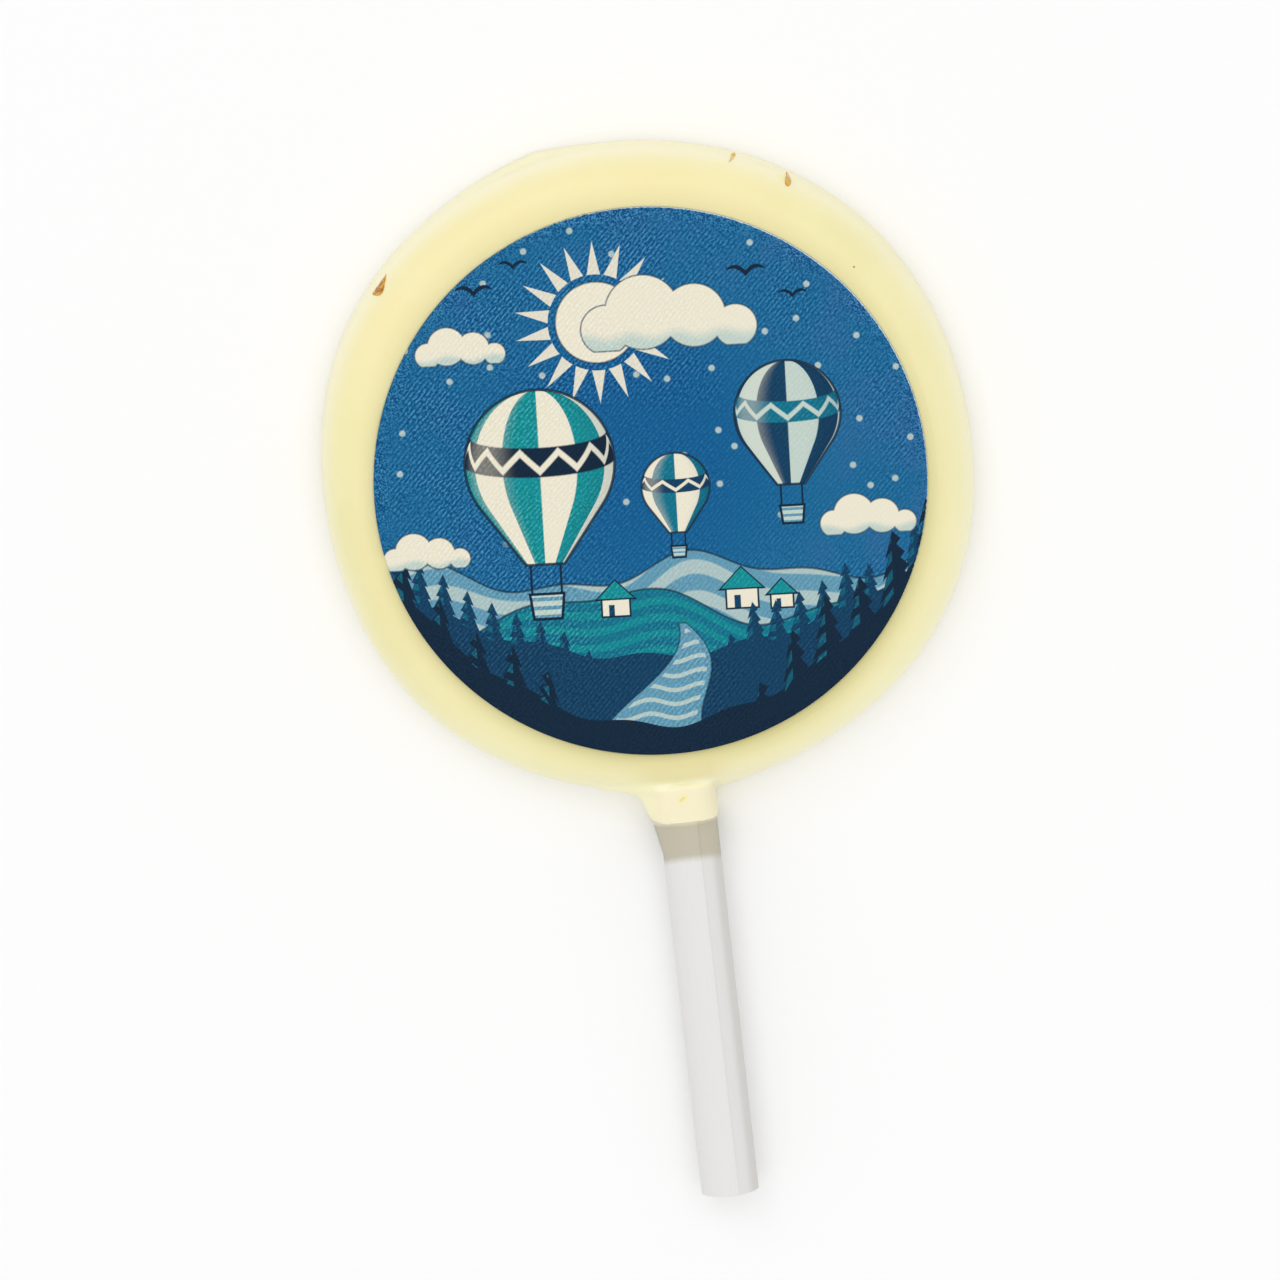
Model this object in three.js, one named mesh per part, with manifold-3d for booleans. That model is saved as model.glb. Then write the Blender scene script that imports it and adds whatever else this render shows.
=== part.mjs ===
// A cast white chocolate lollipop with a round printed sheet on its face, lying on its flat back.
// Millimetres. X runs across the face, Y from the stick towards the top of the head, Z up from the
// back to the printed face. The origin is the centre of the head's round outline, on the back.

import * as THREE from 'three';
import { mergeVertices } from 'three/addons/utils/BufferGeometryUtils.js';
import Module from 'manifold-3d';

const wasm = await Module();
wasm.setup();

// Head: the round of chocolate
const headRadius = 35;
const faceHeight = 8.7;
const backEdgeRound = 0.8;
const sideLean = 0.2;
const shoulderWidth = 4;
const shoulderHeight = 6;
const headSides = 144;
const shoulderSteps = 10;
const backEdgeSteps = 3;

// The cast outline is not a true circle: it swells and draws in by a few tenths of a millimetre.
const outlineWaves = [
  { lobes: 2, depth: 0.1, turn: -116 },
  { lobes: 3, depth: 0.11, turn: -47 },
  { lobes: 4, depth: 0.28, turn: -158 },
  { lobes: 6, depth: 0.08, turn: -151 },
];

// Two lips stand out from that outline: a thin one of spilt chocolate at the back edge, near the
// top of the head, and a thick one where the collar's right side meets the round. Each falls away
// over a long stretch on the side of the greater angles and a short one on the other side.
const lips = [
  { angle: 103, longSpan: 25, shortSpan: 12.5, reach: 0.68, thickness: 1, fade: 0.5 },
  { angle: -84.5, longSpan: 20, shortSpan: 8, reach: 0.66, thickness: 2, fade: 4 },
];
const lipPower = 1.5;

// Printed sheet: an edible paper disc, sunk a little way into the face
const sheetRadius = 29.25;
const sheetThickness = 0.5;
const sheetSink = 0.2;
const sheetEdgeRound = 0.06;
const sheetCentre = new THREE.Vector2(0.34, -0.52);
const sheetGap = 0.1;

// Stick: solid rolled paper, its upper end held in a blind socket in the head
const stickRadius = 3.15;
const stickCentreX = 0.25;
const stickAxisHeight = 3.65;
const stickEndY = -78.8;
const socketEndY = -12;
const stickSides = 60;

// Collar: the chocolate round the stick where it leaves the head, flat underneath. Its section has
// upright sides up to where the rounding starts, and a fullness under 1 makes the top squarer.
const collarLeft = 3.74;
const collarRight = 3.51;
const collarHeight = 7.5;
const collarRoundStart = 3.4;
const collarTopY = -33.6;
const collarEndY = -37.65;
const collarEdgeRound = 0.35;
const collarSteps = 20;
const collarFullness = 0.65;
const collarLengths = 14;

// The collar's left side leans out towards the head and ends in a web of extra chocolate.
const flareEndY = -34.7;
const flareLean = 1.05;
const webReach = 2.8;
const webPower = 1.7;

// How far an outline at the given angle, in radians, lies outside the plain circle
function outlineSwell(angle) {
  let swell = 0;
  for (const { lobes, depth, turn } of outlineWaves) {
    swell += depth * Math.cos(lobes * angle - THREE.MathUtils.degToRad(turn));
  }
  return swell;
}

// How far the lips stand out at the given angle, in radians, and height
function lipSwell(angle, height) {
  let swell = 0;
  for (const { angle: peak, longSpan, shortSpan, reach, thickness, fade } of lips) {
    const past = THREE.MathUtils.radToDeg(angle) - peak;
    const away = past > 0 ? past / longSpan : -past / shortSpan;
    const alongEdge = Math.max(1 - away, 0) ** lipPower;
    const upEdge = 1 - THREE.MathUtils.smoothstep(height, thickness, thickness + fade);
    swell += reach * alongEdge * upEdge;
  }
  return swell;
}

// Turns a closed three.js geometry into a solid that can be joined and cut
function toSolid(geometry) {
  const bare = geometry.clone();
  bare.deleteAttribute('normal');
  bare.deleteAttribute('uv');
  const merged = mergeVertices(bare, 1e-4);
  const corners = merged.index.array;
  const triangles = [];
  for (let i = 0; i < corners.length; i += 3) {
    const [a, b, c] = [corners[i], corners[i + 1], corners[i + 2]];
    if (a !== b && b !== c && c !== a) triangles.push(a, b, c);
  }
  return new wasm.Manifold(new wasm.Mesh({
    numProp: 3,
    vertProperties: new Float32Array(merged.attributes.position.array),
    triVerts: new Uint32Array(triangles),
  }));
}

// Turns a solid back into a three.js geometry
function toGeometry(solid) {
  const mesh = solid.getMesh();
  const geometry = new THREE.BufferGeometry();
  geometry.setAttribute('position', new THREE.BufferAttribute(new Float32Array(mesh.vertProperties), 3));
  geometry.setIndex(new THREE.BufferAttribute(new Uint32Array(mesh.triVerts), 1));
  geometry.computeVertexNormals();
  return geometry;
}

// Turns a lathe's upright axis from Y to Z
function standUp(geometry) {
  return geometry.rotateX(Math.PI / 2);
}

// The round of chocolate: a lathe turned through its profile, then swollen to the cast outline,
// with the recess for the sheet moved to where the sheet lies
function headGeometry() {
  const recessRadius = sheetRadius + sheetGap;
  const recessHeight = faceHeight - sheetSink;
  const shoulderRadius = headRadius - sideLean - shoulderWidth;
  const backEdge = new THREE.EllipseCurve(
    headRadius - backEdgeRound, backEdgeRound, backEdgeRound, backEdgeRound, -Math.PI / 2, 0);
  const shoulder = new THREE.EllipseCurve(
    shoulderRadius, faceHeight - shoulderHeight, shoulderWidth, shoulderHeight, 0, Math.PI / 2);
  const profile = [
    new THREE.Vector2(0, 0),
    ...backEdge.getPoints(backEdgeSteps),
    ...shoulder.getPoints(shoulderSteps),
    new THREE.Vector2(recessRadius, faceHeight),
    new THREE.Vector2(recessRadius, recessHeight),
    new THREE.Vector2(0, recessHeight),
  ];
  const geometry = standUp(new THREE.LatheGeometry(profile, headSides));
  const position = geometry.attributes.position;
  for (let i = 0; i < position.count; i++) {
    const [x, y, z] = [position.getX(i), position.getY(i), position.getZ(i)];
    const radius = Math.hypot(x, y);
    const inRecess = z > recessHeight - 0.01 && radius < recessRadius + 0.01;
    if (inRecess) {
      position.setXY(i, x + sheetCentre.x, y + sheetCentre.y);
    } else if (radius > 0) {
      const angle = Math.atan2(y, x);
      const swell = outlineSwell(angle) * radius / headRadius + lipSwell(angle, z);
      position.setXY(i, x * (1 + swell / radius), y * (1 + swell / radius));
    }
  }
  return geometry;
}

// How far the collar's left side stands out at the given place along the stick
function collarLeftReach(y) {
  const lean = flareLean * THREE.MathUtils.clamp((y - collarEndY) / (flareEndY - collarEndY), 0, 1);
  const web = webReach * Math.max((y - flareEndY) / (collarTopY - flareEndY), 0) ** webPower;
  return collarLeft + lean + web;
}

// The collar: an upright-sided section with a rounded top, drawn along the stick, then widened
// on its left side
function collarGeometry() {
  const section = new THREE.Shape();
  const topRise = collarHeight - collarRoundStart;
  section.moveTo(-collarLeft, backEdgeRound / 2);
  section.lineTo(-collarLeft + backEdgeRound / 2, 0);
  section.lineTo(collarRight - backEdgeRound / 2, 0);
  section.lineTo(collarRight, backEdgeRound / 2);
  for (let step = 0; step <= collarSteps; step++) {
    const angle = Math.PI * step / collarSteps;
    const reach = angle < Math.PI / 2 ? collarRight : collarLeft;
    const along = Math.sign(Math.cos(angle)) * Math.abs(Math.cos(angle)) ** collarFullness;
    const up = Math.sin(angle) ** collarFullness;
    section.lineTo(reach * along, collarRoundStart + topRise * up);
  }
  const geometry = new THREE.ExtrudeGeometry(section, {
    depth: collarTopY - collarEndY - 2 * collarEdgeRound,
    steps: collarLengths,
    bevelThickness: collarEdgeRound,
    bevelSize: collarEdgeRound,
    bevelOffset: -collarEdgeRound,
    bevelSegments: 3,
  });
  // The section is drawn in X and Z, so its length turns from Z to Y.
  geometry.rotateX(Math.PI / 2).translate(0, collarTopY - collarEdgeRound, 0);
  const position = geometry.attributes.position;
  for (let i = 0; i < position.count; i++) {
    if (position.getX(i) < 0) {
      position.setX(i, position.getX(i) * collarLeftReach(position.getY(i)) / collarLeft);
    }
  }
  return geometry;
}

// A round bar along the stick's axis between two places
function barGeometry(fromY, toY) {
  const geometry = new THREE.CylinderGeometry(stickRadius, stickRadius, toY - fromY, stickSides);
  return geometry.translate(stickCentreX, (fromY + toY) / 2, stickAxisHeight);
}

// The whole chocolate body, with the blind socket for the stick cut from the collar's end
function chocolateGeometry() {
  const cast = toSolid(headGeometry()).add(toSolid(collarGeometry()));
  return toGeometry(cast.subtract(toSolid(barGeometry(collarEndY - 5, socketEndY))));
}

// The printed sheet: a thin disc with its upper edge barely broken
function sheetGeometry() {
  const bottom = faceHeight - sheetSink;
  const top = bottom + sheetThickness;
  const profile = [
    new THREE.Vector2(0, bottom),
    new THREE.Vector2(sheetRadius, bottom),
    new THREE.Vector2(sheetRadius, top - sheetEdgeRound),
    new THREE.Vector2(sheetRadius - sheetEdgeRound, top),
    new THREE.Vector2(0, top),
  ];
  const geometry = standUp(new THREE.LatheGeometry(profile, headSides));
  return toGeometry(toSolid(geometry.translate(sheetCentre.x, sheetCentre.y, 0)));
}

// One named piece with its own finish
function piece(name, geometry, color, roughness) {
  const material = new THREE.MeshStandardMaterial({ color, roughness, metalness: 0 });
  const mesh = new THREE.Mesh(geometry, material);
  mesh.name = name;
  return mesh;
}

const lollipop = new THREE.Group();
lollipop.name = 'lollipop';
lollipop.add(piece('chocolate_head', chocolateGeometry(), 0xf1eab5, 0.42));
lollipop.add(piece('printed_disc', sheetGeometry(), 0x306d96, 0.6));
lollipop.add(piece('stick', barGeometry(stickEndY, socketEndY), 0xe8e7e5, 0.65));

export default lollipop;
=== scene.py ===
"""Dresses a white chocolate lollipop: a cast head, its printed sheet and its rolled paper stick.

Lengths in the classes are millimetres in the part's own frame: X across the face, Y from the stick
to the top of the head, Z up from the flat back. Meshes are written in metres.
"""

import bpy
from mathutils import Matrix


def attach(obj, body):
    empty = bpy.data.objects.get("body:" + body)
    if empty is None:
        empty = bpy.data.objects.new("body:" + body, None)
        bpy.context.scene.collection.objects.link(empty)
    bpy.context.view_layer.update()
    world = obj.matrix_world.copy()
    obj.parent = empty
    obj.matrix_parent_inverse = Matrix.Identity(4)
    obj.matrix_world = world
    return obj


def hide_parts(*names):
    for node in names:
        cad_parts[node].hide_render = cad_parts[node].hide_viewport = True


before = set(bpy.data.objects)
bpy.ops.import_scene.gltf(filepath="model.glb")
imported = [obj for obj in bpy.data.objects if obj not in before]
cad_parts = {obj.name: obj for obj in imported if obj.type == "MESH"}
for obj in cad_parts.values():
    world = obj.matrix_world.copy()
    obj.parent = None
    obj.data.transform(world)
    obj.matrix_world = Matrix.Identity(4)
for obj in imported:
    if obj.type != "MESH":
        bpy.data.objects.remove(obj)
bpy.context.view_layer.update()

import logging
import math
from collections.abc import Callable
from dataclasses import dataclass, field, fields
from enum import Enum
from typing import Union

import bmesh
import bpy
import numpy as np
from mathutils import Matrix, Vector

log = logging.getLogger("lollipop")
MM = 0.001
TURN = 2 * math.pi
BODY = "root"

# Sizes that more than one piece goes by
FACE_HEIGHT = 8.7
RECESS_FLOOR = 8.5
SHEET_CENTRE = (0.34, -0.52)
SHEET_RADIUS = 29.25
STICK_RADIUS = 3.15
STICK_X, STICK_Z = 0.25, 3.65
STICK_TOP = -12.0
COLLAR_END = -37.65

Pair = tuple[float, float]
Place = tuple[float, float, float]
Colour = tuple[float, float, float]
Number = Union[float, "Value"]
Paint = Union[Colour, "Triple"]
Array = np.ndarray
Socket = bpy.types.NodeSocket
Material = bpy.types.Material
Mesh = bpy.types.Mesh
Piece = bpy.types.Object


# Node expressions


def operator(operation: str, swapped: bool = False) -> Callable[..., "Value"]:
    """Makes a method of a number that adds a Math node.

    Args:
        operation: what the node does.
        swapped: whether the method's own number comes after the others.

    Returns:
        The method, which takes the other numbers.
    """
    def method(number: "Value", *others: Number) -> "Value":
        """The node's result."""
        return number.tree.math(operation, *((*others, number) if swapped else (number, *others)))
    return method


@dataclass(eq=False)
class Output:
    """What a node gives, in the tree that the node is in."""

    tree: "Tree"
    socket: Socket


class Value(Output):
    """A number in a node tree, which Python's own operators extend with Math nodes."""

    __add__ = __radd__ = operator("ADD")
    __sub__ = operator("SUBTRACT")
    __rsub__ = operator("SUBTRACT", swapped=True)
    __mul__ = __rmul__ = operator("MULTIPLY")
    __truediv__ = operator("DIVIDE")
    __pow__ = operator("POWER")
    __abs__ = operator("ABSOLUTE")
    __gt__ = operator("GREATER_THAN")
    __lt__ = operator("LESS_THAN")
    least = operator("MINIMUM")
    most = operator("MAXIMUM")
    sine = operator("SINE")
    cosine = operator("COSINE")
    whole = operator("FLOOR")
    part = operator("FRACT")

    def __neg__(self) -> "Value":
        """The number with its sign turned."""
        return self * -1.0

    def scaled(self, factor: Number, offset: Number = 0.0) -> "Value":
        """The number times a factor, plus an offset."""
        return self.tree.math("MULTIPLY_ADD", self, factor, offset)

    def held(self, low: float = 0.0, high: float = 1.0) -> "Value":
        """The number held between two limits."""
        return self.most(low).least(high)

    def eased(self, low: float, high: float) -> "Value":
        """0 at low and 1 at high, with a smooth step between them."""
        sockets = {"Value": self, "From Min": low, "From Max": high}
        return self.tree.value("ShaderNodeMapRange", {"interpolation_type": "SMOOTHSTEP"}, sockets)


class Triple(Output):
    """A vector or colour in a node tree, which operators extend with Vector Math nodes."""

    def __add__(self, other: Paint) -> "Triple":
        """Sum."""
        return self.tree.vector_math("ADD", self, other)

    def __mul__(self, other: Paint) -> "Triple":
        """Product, number by number."""
        return self.tree.vector_math("MULTIPLY", self, other)

    def away_from(self, place: Place) -> Value:
        """Distance to a place."""
        settings = {"operation": "DISTANCE"}
        return self.tree.value("ShaderNodeVectorMath", settings, {0: self, 1: place}, "Value")

    def split(self) -> tuple[Value, Value, Value]:
        """The three numbers on their own."""
        node = self.tree.node("ShaderNodeSeparateXYZ", {}, {0: self})
        return tuple(Value(self.tree, output) for output in node.outputs)


class Tree:
    """Adds nodes to one node tree."""

    def __init__(self, nodes: bpy.types.NodeTree) -> None:
        """Keeps the node tree that the nodes go into."""
        self.nodes = nodes

    def node(self, kind: str, settings: dict | None = None, sockets: dict | None = None) -> bpy.types.Node:
        """Adds one node.

        Args:
            kind: the node's type.
            settings: its settings, set first.
            sockets: for each input's name, identifier or number, its value or what is linked to it.

        Returns:
            The node.
        """
        made = self.nodes.nodes.new(kind)
        for name, setting in (settings or {}).items():
            setattr(made, name, setting)
        for key, given in (sockets or {}).items():
            known = [] if isinstance(key, int) else [s for s in made.inputs if s.identifier == key]
            self.feed(known[0] if known else made.inputs[key], given)
        return made

    def feed(self, socket: Socket, given: object) -> None:
        """Links an input or sets its value.

        Args:
            socket: the input.
            given: its value, or the output that is linked to it.
        """
        if isinstance(given, Output):
            given = given.socket
        if isinstance(given, Socket):
            self.nodes.links.new(given, socket)
        else:
            socket.default_value = (*given, 1.0) if socket.type == "RGBA" else given

    def value(self, kind: str, settings: dict, sockets: dict, output: int | str = 0) -> Value:
        """An output of a new node, as a number."""
        return Value(self, self.node(kind, settings, sockets).outputs[output])

    def triple(self, kind: str, settings: dict, sockets: dict, output: int | str = 0) -> Triple:
        """An output of a new node, as a vector or colour."""
        return Triple(self, self.node(kind, settings, sockets).outputs[output])

    def math(self, operation: str, *numbers: Number) -> Value:
        """A Math node on up to three numbers."""
        return self.value("ShaderNodeMath", {"operation": operation}, dict(enumerate(numbers)))

    def vector_math(self, operation: str, *vectors: Paint) -> Triple:
        """A Vector Math node on up to three vectors."""
        return self.triple("ShaderNodeVectorMath", {"operation": operation}, dict(enumerate(vectors)))

    def vector(self, x: Number, y: Number, z: Number = 0.0) -> Triple:
        """Three numbers as one vector."""
        return self.triple("ShaderNodeCombineXYZ", {}, {0: x, 1: y, 2: z})

    def blend(self, factor: Number, first: Paint, second: Paint, how: str = "MIX") -> Triple:
        """Mixes two colours: the first where the factor is 0, the second where it is 1."""
        sockets = {"Factor_Float": factor, "A_Color": first, "B_Color": second}
        return self.triple("ShaderNodeMix", {"data_type": "RGBA", "blend_type": how}, sockets, 2)

    def between(self, factor: Number, first: Number, second: Number) -> Value:
        """Mixes two numbers: the first where the factor is 0, the second where it is 1."""
        sockets = {"Factor_Float": factor, "A_Float": first, "B_Float": second}
        return self.value("ShaderNodeMix", {"data_type": "FLOAT"}, sockets)

    def noise(self, place: Triple, scale: float, detail: float = 2.0, roughness: float = 0.5) -> Value:
        """Noise from 0 to 1 at a place, with so many blobs to the millimetre."""
        sockets = {"Vector": place, "Scale": scale, "Detail": detail, "Roughness": roughness}
        return self.value("ShaderNodeTexNoise", {}, sockets)


def way_of(degrees: float) -> Pair:
    """The direction at an angle."""
    return math.cos(math.radians(degrees)), math.sin(math.radians(degrees))


def linear(*levels: int) -> Colour:
    """A screen colour, from 0 to 255, as the linear colour that a shader takes."""
    shares = (level / 255 for level in levels)
    return tuple(((s + 0.055) / 1.055) ** 2.4 if s > 0.04045 else s / 12.92 for s in shares)


# Shaders


class Surface(Tree):
    """The nodes of one material, with the place on the piece in millimetres."""

    def __init__(self, name: str, colour: Colour) -> None:
        """Starts a material.

        Args:
            name: its name.
            colour: its colour before anything is painted on it.
        """
        self.material = bpy.data.materials.new(name)
        self.material.use_nodes = True
        super().__init__(self.material.node_tree)
        self.nodes.nodes.clear()
        self.place = self.triple("ShaderNodeTexCoord", {}, {}, "Object") * (1 / MM, 1 / MM, 1 / MM)
        self.x, self.y, self.z = self.place.split()
        self.colour = colour

    def along(self, way: Pair, start: Pair = (0.0, 0.0)) -> Value:
        """How far the place lies from a start in a direction."""
        return self.x.scaled(way[0], self.y.scaled(way[1], -start[0] * way[0] - start[1] * way[1]))

    def across(self, way: Pair, start: Pair = (0.0, 0.0)) -> Value:
        """How far the place lies from a start to the left of a direction."""
        return self.along((-way[1], way[0]), start)

    def paint(self, colour: Union[Paint, Enum], share: Number) -> None:
        """Lays a colour over what is there, where the share is 1."""
        self.colour = self.blend(share, self.colour, colour.value if isinstance(colour, Enum) else colour)

    def bump(self, height: Value, distance: float, strength: float) -> Triple:
        """Turns a height from 0 to 1 into a bent normal. Distance is what 1 stands for, in mm."""
        sockets = {"Height": height, "Distance": distance * MM, "Strength": strength}
        return self.triple("ShaderNodeBump", {}, sockets)

    def finish(self, sockets: dict) -> Material:
        """Ends the material in a Principled shader with the painted colour.

        Args:
            sockets: for each other input of the shader, its value or what is linked to it.

        Returns:
            The material.
        """
        shader = self.node("ShaderNodeBsdfPrincipled", {}, {"Base Color": self.colour, **sockets})
        self.node("ShaderNodeOutputMaterial", {}, {"Surface": shader.outputs[0]})
        return self.material


# Meshes


class Recipe(Tree):
    """A Geometry Nodes tree with named sizes, which makes one mesh."""

    def __init__(self, name: str, maker: object) -> None:
        """Starts a tree.

        Args:
            name: its name.
            maker: the dataclass whose lengths become the tree's inputs, by name and in metres.
        """
        super().__init__(bpy.data.node_groups.new(name, "GeometryNodeTree"))
        self.sizes = {}
        face = self.nodes.interface
        for length in (each.name for each in fields(maker) if each.type is float):
            item = face.new_socket(length, in_out="INPUT", socket_type="NodeSocketFloat")
            self.sizes[item.identifier] = getattr(maker, length) * MM
        face.new_socket("Geometry", in_out="OUTPUT", socket_type="NodeSocketGeometry")
        self.given = self.node("NodeGroupInput")

    def size(self, label: str) -> Value:
        """The input of that name."""
        return Value(self, self.given.outputs[label])

    def grid(self, columns: int, rows: int) -> tuple[Socket, Value, Value]:
        """Makes a flat grid to be shaped.

        Args:
            columns: vertices one way.
            rows: vertices the other way.

        Returns:
            The grid, each vertex's column and its row.
        """
        sockets = {"Size X": columns - 1.0, "Size Y": rows - 1.0, "Vertices X": columns, "Vertices Y": rows}
        made = self.node("GeometryNodeMeshGrid", {}, sockets)
        x, y, _ = self.triple("GeometryNodeInputPosition", {}, {}).split()
        return made.outputs["Mesh"], x + (columns - 1) / 2, y + (rows - 1) / 2

    def make(self, name: str, grid: Socket, place: Triple, material: Material) -> Piece:
        """Shapes the grid, ends the tree and turns its result into a plain mesh.

        Args:
            name: the piece's name.
            grid: the flat grid.
            place: where each vertex goes. Those that meet there are joined.
            material: what the piece is dressed in.

        Returns:
            The piece, with no modifier left on it.
        """
        for kind, sockets in (
            ("GeometryNodeSetPosition", {"Position": place}),
            ("GeometryNodeMergeByDistance", {"Distance": 0.0005 * MM}),
            ("GeometryNodeRealizeInstances", {}),
            ("GeometryNodeSetMaterial", {"Material": material}),
        ):
            grid = self.node(kind, {}, {"Geometry": grid, **sockets}).outputs[0]
        self.node("NodeGroupOutput", {}, {"Geometry": grid})
        piece = new_object(name, bpy.data.meshes.new(name))
        modifier = piece.modifiers.new("Recipe", "NODES")
        modifier.node_group = self.nodes
        for identifier, size in self.sizes.items():
            modifier[identifier] = size
        plain_mesh(piece)
        return piece


def new_object(name: str, data: bpy.types.ID) -> Piece:
    """Puts a mesh, a light or a camera into the scene.

    Args:
        name: the object's name.
        data: what it shows.

    Returns:
        The object, at the origin.
    """
    made = bpy.data.objects.new(name, data)
    bpy.context.scene.collection.objects.link(made)
    return made


def written(shape: bmesh.types.BMesh, mesh: Mesh) -> Mesh:
    """Writes a shape into a mesh and lets go of the shape.

    Args:
        shape: the shape.
        mesh: the mesh that takes it.

    Returns:
        The mesh.
    """
    shape.to_mesh(mesh)
    shape.free()
    return mesh


def plain_mesh(piece: Piece) -> None:
    """Replaces a piece's mesh by what its modifiers make of it, and removes them.

    Args:
        piece: the piece.
    """
    graph = bpy.context.evaluated_depsgraph_get()
    made = bpy.data.meshes.new_from_object(piece.evaluated_get(graph), depsgraph=graph)
    piece.modifiers.clear()
    old, piece.data = piece.data, made
    bpy.data.meshes.remove(old)
    made.name = piece.name


def smooth(piece: Piece, sharp_from: float) -> None:
    """Shades a piece smooth, with its faces outwards.

    Args:
        piece: the piece.
        sharp_from: the angle in degrees from which an edge is sharp.
    """
    shape = bmesh.new()
    shape.from_mesh(piece.data)
    bmesh.ops.recalc_face_normals(shape, faces=shape.faces)
    written(shape, piece.data).shade_smooth()
    piece.data.set_sharp_from_angle(angle=math.radians(sharp_from))


def smooth_step(place: Array, low: float, high: float) -> Array:
    """0 at low and 1 at high, with a smooth step between them."""
    share = np.clip((place - low) / (high - low), 0, 1)
    return share * share * (3 - 2 * share)


def from_sheet(places: Array) -> Array:
    """How far places lie from the middle of the sheet, seen from above."""
    return np.hypot(places[:, 0] - SHEET_CENTRE[0], places[:, 1] - SHEET_CENTRE[1])


# Chocolate


@dataclass(frozen=True)
class WhiteChocolate:
    """Satin white chocolate, creamy yellow, with light and shade painted on: paler on its lit sides and
    towards its rim, olive painted shade where the sheet lies on it and in the crease above the collar,
    painted light on the collar and a painted highlight on its lip.
    """

    body: Colour = linear(239, 232, 176)
    cloudy: Colour = linear(242, 235, 182)
    # Painted light: the warmer tone of the side towards the lamps.
    painted_light_warm: Colour = linear(252, 237, 181)
    # Painted light: the paler tone laid on the lower right and towards the stick.
    pale: Colour = linear(251, 247, 206)
    # Painted shadow: the olive tone next to the sheet's edge.
    dark_band_tone: Colour = linear(206, 197, 128)
    # Painted sheen: the paler tone towards the foot of the shoulder.
    painted_edge_sheen: Colour = linear(254, 247, 212)
    # Painted shade: the yellower tone round the sheet and in the crease above the collar.
    painted_shade_yellow: Colour = linear(230, 217, 158)
    # Painted light: the paler tone of the collar's face.
    over_stick: Colour = linear(245, 235, 201)
    # Painted highlight along the collar's lip.
    lip: Colour = linear(254, 250, 219)
    scratch: Colour = linear(238, 224, 138)
    stained: Colour = linear(250, 231, 140)
    speck: Colour = linear(120, 104, 52)
    roughness: float = 0.4
    yellow_reach: float = 4.6
    painted_shadow_way: Pair = (0.4, -0.92)
    painted_light_way: Pair = (-0.35, 0.94)
    painted_fill_way: Pair = (0.75, -0.66)
    crease_y: float = -31.7
    painted_highlight_y: float = -33.56
    scratch_place: Pair = (-0.13, -35.0)
    scratch_turn: float = 34.0
    scratch_size: Pair = (0.4, 0.17)
    halo_size: Pair = (0.6, 0.5)
    stain_place: Place = (18.1, 29.45, 5.0)
    speck_place: Place = (24.13, 19.8, 8.68)

    def material(self) -> Material:
        """Makes the material of the cast head.

        Returns:
            The material.
        """
        surface = Surface("white_chocolate", self.body)
        front, back = surface.z.eased(3.5, 6.0), surface.z.eased(0.5, 0.1)
        surface.paint(self.cloudy, surface.noise(surface.place, 0.12, 3.0).eased(0.35, 0.7))
        # Painted light: the side towards the lamps is painted warmer and brighter.
        lit = surface.along(self.painted_light_way).eased(8, 33)
        surface.paint(self.painted_light_warm, lit * 0.5)
        # Painted light: the lower right and the side towards the stick are painted paler, as fill light.
        surface.paint(self.pale, surface.along(self.painted_fill_way).eased(0, 30) * 0.4)
        surface.paint(self.pale, surface.y.eased(-12, -31) * 0.4)
        # Painted sheen: paler towards the foot of the shoulder, most on the lit side.
        surface.paint(self.painted_edge_sheen, surface.z.eased(8.2, 4.6) * lit.scaled(0.25, 0.6))
        self.dark_band(surface, front)
        self.paint_collar(surface, front)
        surface.paint(self.stained, surface.place.away_from(self.stain_place).eased(1.3, 0.3) * 0.6)
        way = way_of(self.scratch_turn)
        length = abs(surface.along(way, self.scratch_place))
        width = abs(surface.across(way, self.scratch_place))
        scratch, halo = ((length / long).most(width / wide).eased(outer, 0.5) * front
                         for (long, wide), outer in ((self.scratch_size, 1.1), (self.halo_size, 1.2)))
        surface.paint(self.stained, halo * 0.35)
        surface.paint(self.scratch, scratch)
        speck = surface.place.away_from(self.speck_place).eased(0.15, 0.06)
        surface.paint(self.speck, speck * 0.9)
        grain = surface.noise(surface.place, 1.1, 4.0, 0.55)
        scraped = surface.noise(surface.place * (0.25, 3.0, 1.0), 1.0, 3.0)
        relief = surface.between(back, grain * 0.5, scraped * 1.6) - (scratch + speck)
        return surface.finish({
            "Roughness": surface.between(back, grain.scaled(0.12, self.roughness - 0.06), 0.5),
            "Normal": surface.bump(relief, 0.05, 0.5),
            "Subsurface Weight": 0.16,
            "Subsurface Radius": (1.0, 0.75, 0.35),
            "Subsurface Scale": 1.6 * MM,
            "Specular IOR Level": 0.4,
            "IOR": 1.46,
        })

    def dark_band(self, surface: Surface, front: Value) -> None:
        """Paints shade round the sheet: a wide yellower band, and a darker painted shadow of the sheet's
        edge, darkest on the side towards the stick.

        Args:
            surface: the material's nodes.
            front: 1 towards the face and 0 on the back.
        """
        away = surface.place.away_from((*SHEET_CENTRE, FACE_HEIGHT)) - SHEET_RADIUS
        side = surface.along(self.painted_shadow_way).scaled(0.49 / SHEET_RADIUS, 0.49).held()
        # Painted shade: a wide yellower band all round the sheet.
        surface.paint(self.painted_shade_yellow, away.eased(self.yellow_reach, 0) * front * 0.5)
        # Painted shadow of the sheet's edge, widest and darkest towards the stick.
        share = (away / side.scaled(1.0, 1.1)).eased(1.9, -0.2)
        surface.paint(self.dark_band_tone, share * share * front * (side * side).scaled(0.8, 0.07))

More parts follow.
